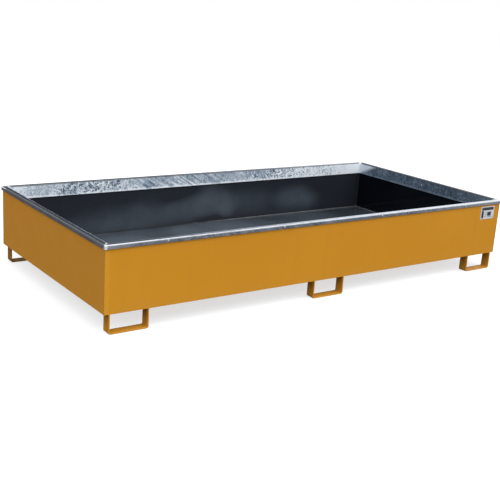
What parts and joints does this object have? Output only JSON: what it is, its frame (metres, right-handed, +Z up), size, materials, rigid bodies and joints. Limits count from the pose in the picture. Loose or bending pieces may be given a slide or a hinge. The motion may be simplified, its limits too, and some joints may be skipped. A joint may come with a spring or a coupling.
{
  "type": "spill containment pallet",
  "caption": "Long, low steel spill pallet on bent flat-bar feet, with a plastic liner inside and a galvanised rim over the top edges.",
  "frame": {"origin": "on the ground under the middle of the tray", "axes": "+X along the tray, towards the end that carries the data plate; +Y from the data plate's side to the other long side; +Z up"},
  "size_m": [2.7, 1.3066, 0.435],
  "materials": {
    "orange_paint": "satin yellow-orange powder coat on steel sheet and flat bar",
    "black_liner": "smooth black polyethylene sheet with a soft gloss",
    "galvanised_steel": "hot-dip galvanised, spangled and mottled",
    "fastener_steel": "zinc-plated steel and aluminium",
    "plate_aluminium": null
  },
  "bodies": {
    "root": {"tray_floor": "orange_paint", "tray_front_wall": "orange_paint", "tray_rear_wall": "orange_paint", "tray_left_wall": "orange_paint", "tray_right_wall": "orange_paint", "foot_front_left": "orange_paint", "foot_front_middle": "orange_paint", "foot_front_right": "orange_paint", "foot_rear_left": "orange_paint", "foot_rear_middle": "orange_paint", "foot_rear_right": "orange_paint", "liner_floor": "black_liner", "liner_front_wall": "black_liner", "liner_rear_wall": "black_liner", "liner_left_wall": "black_liner", "liner_right_wall": "black_liner", "rim_front": "galvanised_steel", "rim_rear": "galvanised_steel", "rim_left": "galvanised_steel", "rim_right": "galvanised_steel", "rim_screw_front_1": "fastener_steel", "rim_screw_front_2": "fastener_steel", "rim_screw_front_3": "fastener_steel", "rim_screw_front_4": "fastener_steel", "rim_screw_rear_1": "fastener_steel", "rim_screw_rear_2": "fastener_steel", "rim_screw_rear_3": "fastener_steel", "rim_screw_rear_4": "fastener_steel", "flange_rivet_left_1": "fastener_steel", "flange_rivet_left_2": "fastener_steel", "flange_rivet_left_3": "fastener_steel", "flange_rivet_right_1": "fastener_steel", "flange_rivet_right_2": "fastener_steel", "flange_rivet_right_3": "fastener_steel", "data_plate_rivet_1": "fastener_steel", "data_plate_rivet_2": "fastener_steel", "data_plate_rivet_3": "fastener_steel", "data_plate_rivet_4": "fastener_steel", "data_plate": "plate_aluminium"}
  },
  "joints": []
}
